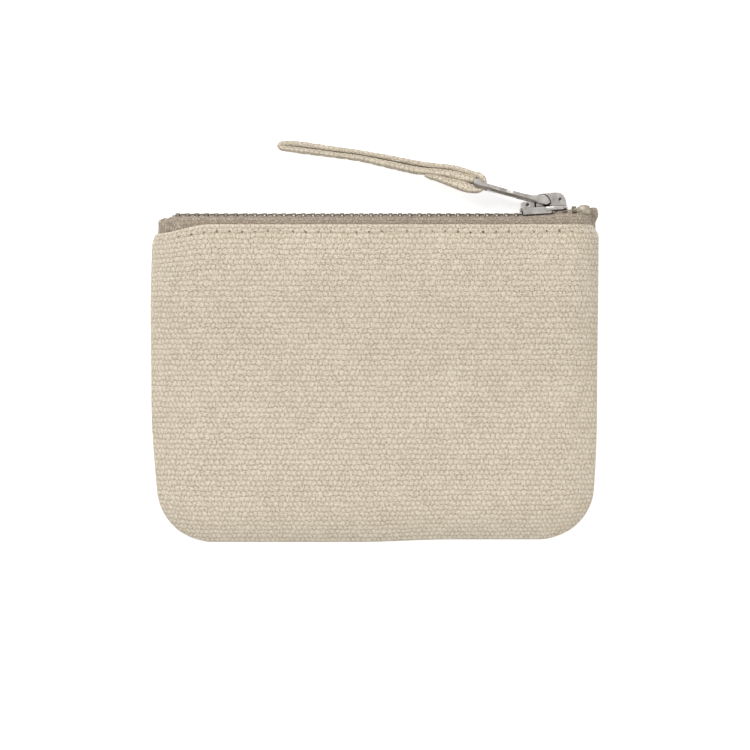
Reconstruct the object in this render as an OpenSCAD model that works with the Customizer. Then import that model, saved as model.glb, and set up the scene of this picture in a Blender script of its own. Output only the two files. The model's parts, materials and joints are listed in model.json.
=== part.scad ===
// Small zip pouch in natural canvas: two panels sewn right sides together and turned,
// a metal zip across the top, an auto-lock slider and a folded canvas pull strap.
// The pouch lies on its back: +X runs along the zip, +Y points up through the zip,
// and +Z points away from the surface. The origin is the centre of the resting face.

/* [Pouch] */
// Width over the side seams
pouch_w = 120.6; // [116:0.2:126]
// Distance of the bottom seam below the origin
bottom_drop = 44.6; // [42:0.1:48]
// Distance of the canvas folds above the origin
fold_y = 41.3; // [40:0.1:44]
// Radius of the two bottom corners
corner_r = 14; // [10:0.5:20]
// Thickness of one layer of canvas
canvas_t = 0.7; // [0.5:0.05:0.8]
// Height of the front panel over the middle of the pouch
belly_z = 7.4; // [6.8:0.1:9]
// Depth of the turned-under hem beside the zip
hem_d = 8; // [6:0.5:10]
// Height of the side seams near the bottom
seam_z = 3; // [2.6:0.1:3.4]

/* [Zip] */
// Thickness of the woven zip tape
tape_t = 0.5; // [0.4:0.05:0.6]
// Gap between the two tapes on each side of the chain's centre
half_gap = 4.4; // [4.35:0.05:4.8]
// Distance from one tooth to the next on the same tape
tooth_pitch = 2.6; // [2.5:0.05:2.8]
// Width of one tooth along the zip
tooth_w = 1.2; // [1:0.05:1.22]
// Height of one tooth across the tape
tooth_h = 2.3; // [2:0.1:2.4]
// Number of teeth on the front tape
tooth_count = 42; // [38:1:42]
// Diameter of the woven bead on the tape's edge
bead_d = 1.4; // [1.2:0.1:1.5]

/* [Slider] */
// Place of the slider's middle along the zip
slider_x = 45.5; // [45.3:0.1:45.7]
// Length of the slider
slider_l = 12.9; // [12:0.1:13]
// Upward tilt of the slider's front end, in degrees
slider_tilt = 3; // [0:0.5:4]
// Distance from the chain's centre to each slider plate
plate_gap = 1.4; // [1.35:0.05:1.6]
// Thickness of each slider plate
plate_t = 1; // [0.8:0.1:1.2]

/* [Puller and strap] */
// Length of the puller from its pivot to the strap bar
puller_l = 19.15; // [19:0.05:19.3]
// Angle of the puller above the zip, in degrees
puller_angle = 15; // [14.5:0.1:15.5]
// Thickness of the puller
puller_t = 1.5; // [1.2:0.1:1.6]
// Width of the canvas strap
strap_w = 6; // [5:0.2:6.2]

/* [Stitching] */
// Length from one needle hole to the next
stitch_pitch = 3.4; // [3:0.1:4]
// Diameter of the sewing thread
thread_d = 0.45; // [0.3:0.05:0.5]

/* [Hidden] */

canvas_colour = "#d8c9aa";
tape_colour = "#a89c8b";
metal_colour = "#a5a3a1";
thread_colour = "#d9ccb0";
fit_gap = 0.05;
hem_gap = 0.12;

bottom_y = -bottom_drop;
hem_t = 2 * canvas_t;
chain_z = hem_t + hem_gap + tape_t + half_gap;
zip_top_z = 2 * chain_z;
chain_y = fold_y + 1.95;
edge_front = 11;
edge_zip = 7.5;
FRONT = 1;
BACK = -1;

// ---- small maths ----
function clamp01(t) = min(1, max(0, t));
function smooth(t) = let (c = clamp01(t)) c * c * (3 - 2 * c);
function mix(a, b, t) = a + (b - a) * t;
function round_edge(t) = let (c = clamp01(t)) sqrt(1 - (1 - c) * (1 - c));

// ---- the pouch's outline, inset by a distance ----
// Sides draw in a little towards the bottom corners.
function side_taper(y) = 2.2 * pow(clamp01(1 - (y - bottom_y) / 38), 2);
function corner_inset(y, inset) = let (
    r = corner_r - inset,
    h = min(r, max(0, y - bottom_y - inset))) r - sqrt(r * r - (r - h) * (r - h));
function half_w(y, inset) = pouch_w / 2 - inset - side_taper(y) - corner_inset(y, inset);
// Distance inward from the outline, which runs down both sides and along the bottom.
function edge_distance(x, y, inset) = let (
    r = corner_r - inset,
    qx = abs(x) + side_taper(y) - (pouch_w / 2 - corner_r),
    qy = bottom_y + corner_r - y)
    max(0, r - (qx > 0 && qy > 0 ? norm([qx, qy]) : max(qx, qy)));

// ---- heights ----
function seam_height(y) = mix(seam_z, chain_z, smooth(y / fold_y));
function front_top(x, y) = mix(belly_z, zip_top_z, pow(smooth((y + 12) / (fold_y + 12)), 1.2))
    - 0.9 * pow(x / (pouch_w / 2), 2) * clamp01(1 - y / 20);
function edge_width(y, side) = mix(side == FRONT ? edge_front : edge_zip, edge_zip, smooth(y / 30));
// A point on the shell a depth below the canvas surface; s runs from -1 to 1 across.
function shell_point(s, y, depth, side) = let (
    x = s * half_w(y, depth),
    rim = seam_height(y) + side * fit_gap,
    face = side == FRONT ? front_top(x, y) - depth : depth,
    rise = round_edge(edge_distance(x, y, depth) / (edge_width(y, side) - depth)))
    settle([x, y, mix(rim, face, rise)]);
// The fold dips at the left end, the bottom edge rises a little to the right,
// and the left side bulges slightly.
function settle(p) = [
    p[0] - 0.7 * clamp01(-p[0] / 60) * smooth((40 - abs(p[1] - 5)) / 30),
    p[1] - 2.4 * smooth((-44 - p[0]) / 15) * clamp01((p[1] - 25) / (fold_y - 25))
        + 0.7 * smooth((p[0] + 5) / 25) * clamp01((-20 - p[1]) / 25),
    p[2]];
// Height of the chain's centre line: it dips at the left end and lifts past the slider.
function chain_line(x) = chain_y - 2.2 * clamp01((-54.9 - x) / 3.7) + 1.3 * smooth((x - 36) / 24);

// ---- grids of points made into closed sheets ----
function flat_list(grid) = [for (row = grid) for (p = row) p];
// Faces of a slab whose upper grid is listed first, both with the same rows and columns.
function slab_faces(rows, cols) = let (n = rows * cols) concat(
    [for (i = [0:rows - 2], j = [0:cols - 2]) let (a = i * cols + j, b = a + cols)
        each [[a, b, a + 1], [a + 1, b, b + 1]]],
    [for (i = [0:rows - 2], j = [0:cols - 2]) let (a = n + i * cols + j, b = a + cols)
        each [[a, a + 1, b], [a + 1, b + 1, b]]],
    [for (j = [0:cols - 2]) let (t = (rows - 1) * cols + j)
        each [[j, j + 1, n + j], [j + 1, n + j + 1, n + j],
            [t + 1, t, n + t], [t + 1, n + t, n + t + 1]]],
    [for (i = [0:rows - 2]) let (a = i * cols, b = a + cols, c = a + cols - 1, d = b + cols - 1)
        each [[b, a, n + a], [b, n + a, n + b], [c, d, n + c], [d, n + d, n + c]]]);
module slab(upper, lower) {
    polyhedron(concat(flat_list(upper), flat_list(lower)),
        slab_faces(len(upper), len(upper[0])), convexity = 8);
}

// ---- canvas panels ----
panel_cols = [for (a = [-90:7.5:90]) sin(a)];
function row_y(v, depth) = mix(bottom_y + depth, fold_y, v);
panel_rows = let (h = fold_y - bottom_y) concat(
    [for (a = [0:15:90]) edge_front * (1 - cos(a)) / h],
    [for (y = [edge_front + 7:7:h - hem_d - 3]) y / h],
    [(h - hem_d - 1) / h, (h - hem_d) / h, (h - hem_d / 2) / h, (h - 0.8) / h, 1]);
function wall_t(v) = v > 1 - (hem_d + 0.5) / (fold_y - bottom_y) ? hem_t : canvas_t;
function panel_grid(side, outer) = [for (v = panel_rows)
    [for (s = panel_cols) let (depth = outer ? 0 : wall_t(v))
        shell_point(s, row_y(v, depth), depth, side)]];

// The seam allowance is turned in and lies flat along the sides and the bottom.
allowance_w = 6;
allowance_top = 27;
allowance_lift = 0.12;
function allowance_point(t, inset) = let (
    side_l = allowance_top - bottom_y - corner_r,
    a = clamp01(abs(t) - 1) * 90,
    r = corner_r - inset,
    along = clamp01(abs(t) - 2),
    y = bottom_y + corner_r - r * cos(a) + along * side_l,
    x = clamp01(abs(t)) * (pouch_w / 2 - corner_r) + r * sin(a) - side_taper(y))
    settle([sign(t) * max(0, x), y, seam_height(y)]);
allowance_half = concat([0, 0.5], [for (t = [1:0.2:2]) t], [2.33, 2.66, 3]);
allowance_steps = concat([for (i = [len(allowance_half) - 1:-1:1]) -allowance_half[i]],
    allowance_half);
function allowance_grid(side, lift) = [for (inset = [0.35, allowance_w])
    [for (t = allowance_steps)
        allowance_point(t, inset) + [0, 0, side * (fit_gap + allowance_lift + lift)]]];

module front_panel() {
    color(canvas_colour) union() {
        slab(panel_grid(FRONT, true), panel_grid(FRONT, false));
        slab(allowance_grid(FRONT, canvas_t), allowance_grid(FRONT, 0));
    }
}

module back_panel() {
    color(canvas_colour) union() {
        slab(panel_grid(BACK, false), panel_grid(BACK, true));
        slab(allowance_grid(BACK, 0), allowance_grid(BACK, canvas_t));
    }
}

// ---- zip tapes: up inside the hem, then bent over towards the chain ----
tape_drop = 9.5;
bend_r = 1;
edge_offset = 1.2;
tape_depth = hem_t + hem_gap + tape_t / 2;
tape_end_x = 58.5;
tape_xs = concat([-tape_end_x], [for (x = [-57.6:0.9:-53.1]) x], [for (x = [-50:12.4:36]) x],
    [for (x = [38:2:52]) x], [for (x = [52.8:0.95:57.6]) x], [tape_end_x]);
// Spread of each row of teeth around the slider's wedge.
function spread(x) = 1.6 * smooth((x - 47) / 2.6);
// How far the tape's edge stands upright beyond each end of the chain, from 0 to 1.
function upright(x) = max(smooth((x - 51.9) / 3.2), smooth((-55.6 - x) / 2.4));
function bend_angle(x) = 90 * (1 - upright(x));
function edge_reach(x) = half_gap + tape_t / 2 - bend_r - edge_offset - spread(x)
    + 1.5 * smooth((x - 51.9) / 3.2) - 1.4 * smooth((-53.8 - x) / 4.7);
// Where the tape turns over, on its middle surface.
function bend_start(x, side, depth) = let (
    p = shell_point(x / tape_end_x, fold_y, depth, side),
    off = max(side * (p[2] - chain_z), tape_t / 2 + fit_gap))
    [p[0], chain_line(x) - bend_r, chain_z + side * off];
// A point of the bent edge, measured along it from the bend, offset through the thickness.
function bent_point(x, side, run, offset) = let (
    a = min(bend_angle(x), run / bend_r * 180 / PI),
    rest = max(0, run - bend_angle(x) * PI / 180 * bend_r),
    p = bend_start(x, side, tape_depth),
    r = bend_r + offset)
    [p[0], p[1] + r * sin(a) + rest * cos(a),
        p[2] + side * (r * cos(a) - bend_r - rest * sin(a))];
function edge_run(x) = bend_angle(x) * PI / 180 * bend_r + edge_reach(x);
function tape_column(x, side, offset) = concat(
    [for (k = [0:3]) let (y = fold_y - tape_drop + k * (tape_drop - 0.6) / 3)
        shell_point(x / tape_end_x, y, tape_depth - offset, side)],
    [for (k = [0:6]) bent_point(x, side, k / 6 * (edge_run(x) - bead_d + 0.1), offset)]);
function tape_grid(side, offset) = let (columns = [for (x = tape_xs) tape_column(x, side, offset)])
    [for (i = [0:len(columns[0]) - 1]) [for (c = columns) c[i]]];

module zip_tape(side) {
    outer = tape_grid(side, tape_t / 2);
    inner = tape_grid(side, -tape_t / 2);
    if (side == FRONT) slab(outer, inner);
    else slab(inner, outer);
}
module front_zip_tape() { color(tape_colour) zip_tape(FRONT); }
module back_zip_tape() { color(tape_colour) zip_tape(BACK); }

// The bead runs along the tape's edge between the end of the chain and the top stops.
bead_xs = concat([for (x = [-54.6:0.8:-53]) x], [for (x = [-48:12:36]) x],
    [for (x = [39:1.5:56.6]) x]);
bead_sides = 8;
function bead_centre(x, side) = bent_point(x, side, edge_run(x) - bead_d / 2, 0);
function bead_ring(x, side) = [for (k = [0:bead_sides - 1]) let (a = 360 * k / bead_sides)
    bead_centre(x, side) + bead_d / 2 * [0, cos(a), sin(a)]];
function tube_faces(rings, n) = concat(
    [for (i = [0:rings - 2], k = [0:n - 1]) let (a = i * n + k, b = i * n + (k + 1) % n)
        each [[a, b, a + n], [b, b + n, a + n]]],
    [[for (k = [n - 1:-1:0]) k]], [[for (k = [0:n - 1]) (rings - 1) * n + k]]);
module tape_bead(side) {
    polyhedron(flat_list([for (x = bead_xs) bead_ring(x, side)]),
        tube_faces(len(bead_xs), bead_sides), convexity = 6);
}
module front_tape_bead() { color(tape_colour) tape_bead(FRONT); }
module back_tape_bead() { color(tape_colour) tape_bead(BACK); }

// ---- teeth ----
head_l = 2.2;
leg_l = 1.9;
last_tooth_x = 53.4;
// One tooth clamped on the bead: its head points to -Z from the tape's edge at the origin.
module tooth() {
    difference() {
        union() {
            translate([-tooth_w / 2, -tooth_h / 2, -head_l + 0.5])
                cube([tooth_w, tooth_h, head_l + leg_l - 0.5]);
            translate([-tooth_w / 2, 0, -head_l + tooth_h / 2]) rotate([0, 90, 0])
                cylinder(h = tooth_w, r = tooth_h / 2, $fn = 24);
        }
        translate([-tooth_w, 0, bead_d / 2]) rotate([0, 90, 0])
            cylinder(h = 2 * tooth_w, d = bead_d + 0.1, $fn = 24);
        translate([-tooth_w, -tape_t / 2 - fit_gap, bead_d / 2])
            cube([2 * tooth_w, tape_t + 2 * fit_gap, leg_l]);
    }
}
// Sets a piece on the tape's edge at a place along the zip, turned as the edge is turned.
module on_edge(x, side) {
    p = bent_point(x, FRONT, edge_run(x), 0);
    translate([x, p[1], side == FRONT ? p[2] : 2 * chain_z - p[2]])
        mirror([0, 0, side == FRONT ? 0 : 1]) rotate([90 - bend_angle(x), 0, 0]) children();
}
module teeth(side, count, first_x) {
    for (i = [0:count - 1]) on_edge(first_x - i * tooth_pitch, side) tooth();
}
module front_teeth() { color(metal_colour) teeth(FRONT, tooth_count, last_tooth_x); }
module back_teeth() {
    color(metal_colour) teeth(BACK, tooth_count - 1, last_tooth_x - tooth_pitch / 2);
}

// ---- top stops and the sewn end ----
stop_x = 56.1;
stop_w = 2.4;
module top_stop(side) {
    on_edge(stop_x, side) difference() {
        translate([-stop_w / 2, -0.95, -0.35]) cube([stop_w, 1.9, 2.5]);
        translate([-stop_w, 0, bead_d / 2]) rotate([0, 90, 0])
            cylinder(h = 2 * stop_w, d = bead_d + 0.1, $fn = 24);
        translate([-stop_w, -tape_t / 2 - fit_gap, bead_d / 2])
            cube([2 * stop_w, tape_t + 2 * fit_gap, 3]);
    }
}
module front_top_stop() { color(metal_colour) top_stop(FRONT); }
module back_top_stop() { color(metal_colour) top_stop(BACK); }

bartack_xs = [-58.1, -57.5, -56.9, -56.3, -55.7];
module zip_end_bartack() {
    color(thread_colour) for (x = bartack_xs) {
        edge = bent_point(x, FRONT, edge_run(x), 0);
        translate([edge[0], edge[1] + 0.45, chain_z])
            cylinder(h = 2 * (edge[2] - chain_z) + 0.7, d = thread_d, center = true, $fn = 16);
    }
}

// ---- slider ----
rear_half_w = 3.9;
front_half_w = 4.4;
lower_half_w = 4.1;
flange_l = 7.5;
flange_in = 3.15;
flange_out = 3.9;
flange_drop = 0.9;
module at_slider() {
    translate([slider_x, chain_line(slider_x), chain_z]) rotate([0, 0, slider_tilt]) children();
}
// A plate seen from above: narrow and square behind, broad and round in front.
module plate_outline(front_w) {
    l = slider_l / 2;
    intersection() {
        polygon([[-l, -rear_half_w + 0.6], [-l + 0.6, -rear_half_w], [0.5, -rear_half_w],
            [2.5, -front_w], [l, -front_w], [l, front_w], [2.5, front_w],
            [0.5, rear_half_w], [-l + 0.6, rear_half_w], [-l, rear_half_w - 0.6]]);
        translate([l - 8, 0]) circle(r = 8, $fn = 72);
    }
}
module plate(front_w, y) {
    translate([0, y + plate_t, 0]) rotate([90, 0, 0]) linear_extrude(plate_t)
        plate_outline(front_w);
}
// Side rails that fold over the teeth and leave a slot for the tape.
module flange(y) {
    for (side = [-1, 1])
        translate([-slider_l / 2 + 0.7, y, side > 0 ? flange_in : -flange_out])
            cube([flange_l, flange_drop, flange_out - flange_in]);
}
wedge_half_w = 0.55;
module slider_body() {
    color(metal_colour) at_slider() {
        difference() {
            plate(front_half_w, plate_gap);
            translate([-1.6, plate_gap - 1, -0.75]) cube([1.2, plate_t + 2, 1.5]);
        }
        plate(lower_half_w, -plate_gap - plate_t);
        flange(plate_gap - flange_drop);
        flange(-plate_gap);
        // The wedge joins the plates and parts the two rows of teeth.
        translate([0, plate_gap + 0.1, 0]) rotate([90, 0, 0]) linear_extrude(2 * plate_gap + 0.2)
            polygon([[3.7, 0], [4.6, -wedge_half_w], [5.8, -wedge_half_w], [6.1, 0],
                [5.8, wedge_half_w], [4.6, wedge_half_w]]);
        // Rear lug, which carries the back of the cap.
        rear_lug();
    }
}
lug_h = 1.75;
module rear_lug() {
    translate([0, 0, -1.9]) linear_extrude(3.8) difference() {
        union() {
            translate([-6.15, plate_gap + plate_t - 0.1]) square([3.7, lug_h - 0.4]);
            translate([-5.65, plate_gap + plate_t]) square([2.7, lug_h]);
            translate([-5.55, plate_gap + plate_t + lug_h - 0.6]) circle(r = 0.6, $fn = 24);
            translate([-3.05, plate_gap + plate_t + lug_h - 0.6]) circle(r = 0.6, $fn = 24);
        }
        translate([-4.4, plate_gap + plate_t + 0.85]) circle(r = 0.4, $fn = 24);
    }
}

// The pivot and the cap are set out from the slider's centre.
pivot_x = 0.7;
pivot_y = 3.5;
pin_r = 0.65;
cap_half_w = 1.9;
cap_wall = 0.6;
cap_base = plate_gap + plate_t;
cap_h = 3.83;
cap_front = 6.1;
cap_mid = 2;
// The side of the cap, above its base: a long low hood with a rounded front.
cap_side = [[-2.1, 0], [-2.1, 2.6], [-1.9, 3.1], [-1.4, 3.45], [0, 3.68], [2.1, cap_h],
    [3.9, 3.78], [4.7, 3.55], [5.35, 3], [5.85, 2.1], [cap_front, 1], [cap_front, 0]];
module cap_profile(inset) {
    polygon([for (p = cap_side) [cap_mid + (p[0] - cap_mid) * (1 - inset / (cap_front - cap_mid)),
        cap_base + p[1] * (1 - inset / cap_h)]]);
}
module slider_cap() {
    color(metal_colour) at_slider() difference() {
        translate([0, 0, -cap_half_w]) linear_extrude(2 * cap_half_w) cap_profile(0);
        translate([0, -0.1, -cap_half_w + cap_wall])
            linear_extrude(2 * (cap_half_w - cap_wall)) cap_profile(cap_wall);
        translate([pivot_x, pivot_y, -3]) cylinder(h = 6, r = pin_r + 0.1, $fn = 32);
        translate([pivot_x - pin_r - 0.1, 0, -3]) cube([2 * pin_r + 0.2, pivot_y, 6]);
    }
}
// Leaf spring under the hood; its bent end drops through the plate between the teeth.
module lock_spring() {
    color(metal_colour) at_slider() translate([0, 0, -0.5]) linear_extrude(1)
        polygon([[-1.2, 1.25], [-0.95, 1.25], [-0.95, 3.9], [0, 4.05], [0.5, 4.19], [0.9, 4.3],
            [3.2, 4.75], [4.6, 3.9], [4.6, 2.45], [4.85, 2.45], [4.85, 4.05], [3.25, 5],
            [0.8, 4.5], [0.2, 4.28], [-1.2, 4.12]]);
}

// ---- puller: two arms around the cap, a bar, and an eye for the strap ----
arm_in = 2.15;
arm_out = 3.05;
// The side of an arm, from its crossbar round the pivot: a cam that clears the slider's plate.
arm_side = [[9.2, 0.75], [4.5, 0.7], [1.5, 0.65], [0, 0.65], [-0.55, 0.35], [-0.95, -0.3],
    [-0.7, -0.77], [-0.3, -1.17], [0.3, -1.65], [1, -1.85], [1.8, -1.75], [2.8, -1.3],
    [4.2, -0.9], [6.5, -0.75], [9.2, -0.75]];
cap_window = 8;
crossbar_l = 1.2;
bar_half_w = 2.6;
eye_from = 16.3;
rail_in = 3.2;
rail_out = 4.2;
strap_bar_r = 0.6;
// Places a piece with +X running along the puller, from its pivot to its eye.
module at_puller() {
    at_slider() translate([pivot_x, pivot_y, 0])
        rotate([0, 0, 180 - puller_angle - slider_tilt]) children();
}
module puller_plan() {
    difference() {
        union() {
            translate([cap_window, -arm_out]) square([crossbar_l, 2 * arm_out]);
            translate([cap_window, -bar_half_w]) square([eye_from - cap_window, 2 * bar_half_w]);
            polygon([[eye_from - 4.4, -bar_half_w], [eye_from - 0.6, -rail_out],
                [puller_l - 0.5, -rail_out], [puller_l, -rail_out + 0.5],
                [puller_l, rail_out - 0.5], [puller_l - 0.5, rail_out],
                [eye_from - 0.6, rail_out], [eye_from - 4.4, bar_half_w]]);
        }
        translate([-1, -arm_in]) square([cap_window + 1, 2 * arm_in]);
        translate([eye_from, -rail_in]) square([puller_l, 2 * rail_in]);
    }
}
module puller() {
    color(metal_colour) at_puller() {
        translate([0, puller_t / 2, 0]) rotate([90, 0, 0]) linear_extrude(puller_t)
            puller_plan();
        // Arms, and the pin between them that passes under the cap.
        for (z = [-arm_out, arm_in]) translate([0, 0, z])
            linear_extrude(arm_out - arm_in) polygon(arm_side);
        cylinder(h = 2 * arm_in + 0.2, r = pin_r, center = true, $fn = 32);
        // Rounded rail ends and the bar that holds the strap.
        for (z = [-rail_out, rail_in]) translate([puller_l, 0, z])
            cylinder(h = rail_out - rail_in, r = puller_t / 2, $fn = 32);
        translate([puller_l, 0, 0])
            cylinder(h = 2 * rail_in + 0.2, r = strap_bar_r, center = true, $fn = 32);
    }
}

// ---- strap: one strip, folded along its length and wrapped around the puller's bar ----
// Centre line and thickness, from the inner end, round the far end, over the top,
// through the eye and back underneath.
strap_route = [
    [25.6, 53.5, 2], [22, 54.6, 2.2], [18, 55.4, 1.9], [15, 55.75, 1.7], [11, 56.1, 1.8],
    [4, 57.6, 1.7], [-4, 59.3, 1.4], [-12, 60.4, 1.3], [-20, 61.45, 1.4], [-24, 61.85, 1.1],
    [-25.4, 62.1, 0.9], [-25.9, 62.6, 1], [-25.4, 63.15, 0.9],
    [-24, 63.35, 1.1], [-20, 63.05, 1.2], [-12, 61.85, 1.2], [-4, 60.75, 1.1],
    [4, 59.3, 1.2], [12, 57.75, 1.2], [16, 57.25, 1.2], [20, 56.85, 1.2], [24, 55.9, 1.2],
    [26.4, 55.1, 1.2], [27.8, 54.85, 1.2], [28.95, 54.05, 1.2], [29.35, 52.8, 1.2],
    [28.95, 51.55, 1.2], [28, 50.8, 1.3], [26.5, 50.8, 1.6], [24, 51.4, 1.9],
    [20, 52.65, 1.6], [16.6, 53.85, 1.3], [14.2, 54.35, 0.9]];
function route_dir(i) = let (n = len(strap_route), a = strap_route[max(0, i - 1)],
    b = strap_route[min(n - 1, i + 1)], d = [b[0] - a[0], b[1] - a[1]]) d / norm(d);
function route_side(i, side) = let (p = strap_route[i], d = route_dir(i))
    [p[0] - side * d[1] * p[2] / 2, p[1] + side * d[0] * p[2] / 2];
module pull_strap() {
    n = len(strap_route);
    color(canvas_colour) translate([0, 0, chain_z - strap_w / 2]) linear_extrude(strap_w)
        polygon(concat([for (i = [0:n - 1]) route_side(i, 1)],
            [for (i = [n - 1:-1:0]) route_side(i, -1)]));
}

// ---- stitches ----
// A short straight run of thread between two points.
module stitch(a, b, d) {
    v = b - a;
    translate(a) rotate([0, acos(v[2] / norm(v)), atan2(v[1], v[0])])
        cylinder(h = norm(v), d = d, $fn = 8);
}
stitch_l = 0.78 * stitch_pitch;
// Stitches along the upper and the lower face of the strap's two-layer part.
top_runs = [for (i = [13:20]) i];
low_runs = [for (i = [5:8]) i];
module strap_stitches(runs, side) {
    for (i = runs) {
        a = route_side(i, side);
        b = route_side(i + 1, side);
        d = (b - a) / norm(b - a);
        count = floor(norm(b - a) / stitch_pitch);
        if (count > 0) for (k = [0:count - 1]) {
            p = a + d * (norm(b - a) - count * stitch_pitch + 0.4) / 2 + d * k * stitch_pitch;
            stitch([p[0], p[1], chain_z], [p[0] + d[0] * stitch_l, p[1] + d[1] * stitch_l,
                chain_z], thread_d);
        }
    }
}
module strap_stitching() {
    color(thread_colour) {
        strap_stitches(top_runs, 1);
        strap_stitches(low_runs, 1);
    }
}

topstitch_drop = 2;
function topstitch_point(x, side) =
    shell_point(x / half_w(fold_y, 0), fold_y - topstitch_drop, side == FRONT ? 0 : 0.28, side);
module topstitching(side) {
    for (k = [0:32]) {
        x = -56.1 + k * stitch_pitch;
        stitch(topstitch_point(x, side), topstitch_point(x + stitch_l, side), thread_d);
    }
}
module front_topstitching() { color(thread_colour) topstitching(FRONT); }
module back_topstitching() { color(thread_colour) topstitching(BACK); }

// The closing seam: needle thread on the front allowance, bobbin thread on the back one.
seam_inset = 1.8;
seam_d = 0.4;
seam_side_stitches = 16;
seam_corner_stitches = 5;
seam_bottom_stitches = 13;
seam_steps = concat([for (k = [0:seam_side_stitches - 1]) [3 - k / seam_side_stitches,
        3 - (k + 0.8) / seam_side_stitches]],
    [for (k = [0:seam_corner_stitches - 1]) [2 - k / seam_corner_stitches,
        2 - (k + 0.8) / seam_corner_stitches]],
    [for (k = [0:seam_bottom_stitches - 1]) [1 - k / seam_bottom_stitches,
        1 - (k + 0.8) / seam_bottom_stitches]]);
module seam_thread(side) {
    lift = [0, 0, side * (fit_gap + allowance_lift + canvas_t + seam_d / 2 + 0.01)];
    for (mirror_side = [-1, 1], s = seam_steps)
        stitch(allowance_point(mirror_side * s[0], seam_inset) + lift,
            allowance_point(mirror_side * s[1], seam_inset) + lift, seam_d);
}
module seam_needle_thread() { color(thread_colour) seam_thread(FRONT); }
module seam_bobbin_thread() { color(thread_colour) seam_thread(BACK); }

front_panel();
back_panel();
front_zip_tape();
back_zip_tape();
front_tape_bead();
back_tape_bead();
front_teeth();
back_teeth();
front_top_stop();
back_top_stop();
zip_end_bartack();
slider_body();
slider_cap();
lock_spring();
puller();
pull_strap();
strap_stitching();
front_topstitching();
back_topstitching();
seam_needle_thread();
seam_bobbin_thread();
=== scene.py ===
"""Looks of a small canvas zip pouch: woven shells, zip, slider, puller and a folded pull strap.

Lengths are in metres, in the frame's own axes: +X along the zip, +Y up through the zip
and +Z away from the surface that the pouch lies on.
"""

import json
import math

import bmesh
import bpy
import numpy as np
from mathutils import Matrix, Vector, noise


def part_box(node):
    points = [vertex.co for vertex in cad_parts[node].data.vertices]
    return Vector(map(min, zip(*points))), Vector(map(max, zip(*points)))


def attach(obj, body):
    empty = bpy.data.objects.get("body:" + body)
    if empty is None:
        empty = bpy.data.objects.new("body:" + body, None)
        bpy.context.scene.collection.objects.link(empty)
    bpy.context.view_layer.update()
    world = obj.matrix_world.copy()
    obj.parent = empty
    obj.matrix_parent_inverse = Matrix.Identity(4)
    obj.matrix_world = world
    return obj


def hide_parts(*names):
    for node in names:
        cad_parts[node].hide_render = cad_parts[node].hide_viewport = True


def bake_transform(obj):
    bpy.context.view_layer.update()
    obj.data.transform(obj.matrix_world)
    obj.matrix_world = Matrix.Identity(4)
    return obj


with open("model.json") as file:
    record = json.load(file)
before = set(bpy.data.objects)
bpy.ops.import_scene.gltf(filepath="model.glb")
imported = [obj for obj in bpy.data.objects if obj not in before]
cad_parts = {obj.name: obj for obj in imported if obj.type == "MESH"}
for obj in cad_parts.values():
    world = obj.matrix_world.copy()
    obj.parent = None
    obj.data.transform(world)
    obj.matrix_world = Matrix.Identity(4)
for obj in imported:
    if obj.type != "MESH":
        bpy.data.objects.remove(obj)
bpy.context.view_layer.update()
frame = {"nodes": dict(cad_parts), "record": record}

# ---- sizes read from the frame ----
panel_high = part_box("front_panel")[1]
HALF_W = panel_high.x
FOLD_Y = panel_high.y
BOTTOM_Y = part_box("back_panel")[0].y
ZIP_TOP_Z = panel_high.z
CHAIN_Z = ZIP_TOP_Z / 2

# ---- sizes of the sewn canvas ----
CANVAS_T = 0.0007
HEM_T = 2 * CANVAS_T
HEM_D = 0.008
CORNER_R = 0.014
BELLY_Z = 0.0074
SEAM_Z = 0.003
EDGE_FRONT = 0.011
EDGE_ZIP = 0.0075
FIT_GAP = 0.00005
SEAM_PINCH = 0.00035
STITCH_PITCH = 0.0034
STITCH_DROP = 0.002
FIRST_STITCH_X = -0.0561
STITCH_COUNT = 33
STITCH_WAVES = ((0.00014, 170.0), (0.0001, 410.0))
THREAD_R = 0.00019
BACK_THREAD_SINK = 0.00028
FRONT, BACK = 1, -1

# ---- camera: straight down on the face, the pouch a little below the middle ----
VIEW_WIDTH = 0.2023
VIEW_DISTANCE = 0.95
SENSOR = 36.0


def link_object(name, data):
    obj = bpy.data.objects.new(name, data)
    bpy.context.collection.objects.link(obj)
    return obj


def make_camera():
    data = bpy.data.cameras.new("camera")
    data.sensor_width = SENSOR
    data.lens = SENSOR * VIEW_DISTANCE / VIEW_WIDTH
    camera = link_object("camera", data)
    camera.location = (-0.00013, 0.00088, VIEW_DISTANCE + CHAIN_Z)
    bpy.context.scene.camera = camera


make_camera()


# ---- small maths, on numbers or arrays ----
def clamp01(t):
    return np.clip(t, 0.0, 1.0)


def smooth(t):
    c = clamp01(t)
    return c * c * (3 - 2 * c)


def mix(a, b, t):
    return a + (b - a) * t


def round_edge(t):
    return np.sqrt(np.maximum(0.0, 1 - (1 - clamp01(t)) ** 2))


# ---- the pouch's outline and heights, as in the CAD model ----
def side_taper(y):
    return 0.0022 * clamp01(1 - (y - BOTTOM_Y) / 0.038) ** 2


def corner_inset(y, inset):
    r = CORNER_R - inset
    h = np.minimum(r, np.maximum(0, y - BOTTOM_Y - inset))
    return r - np.sqrt(np.maximum(0, r * r - (r - h) ** 2))


def half_w(y, inset):
    return HALF_W - inset - side_taper(y) - corner_inset(y, inset)


def edge_distance(x, y, inset):
    r = CORNER_R - inset
    qx = np.abs(x) + side_taper(y) - (HALF_W - CORNER_R)
    qy = BOTTOM_Y + CORNER_R - y
    far = np.where((qx > 0) & (qy > 0), np.hypot(qx, qy), np.maximum(qx, qy))
    return np.maximum(0, r - far)


def seam_height(y):
    return mix(SEAM_Z, CHAIN_Z, smooth(y / FOLD_Y))


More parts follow.
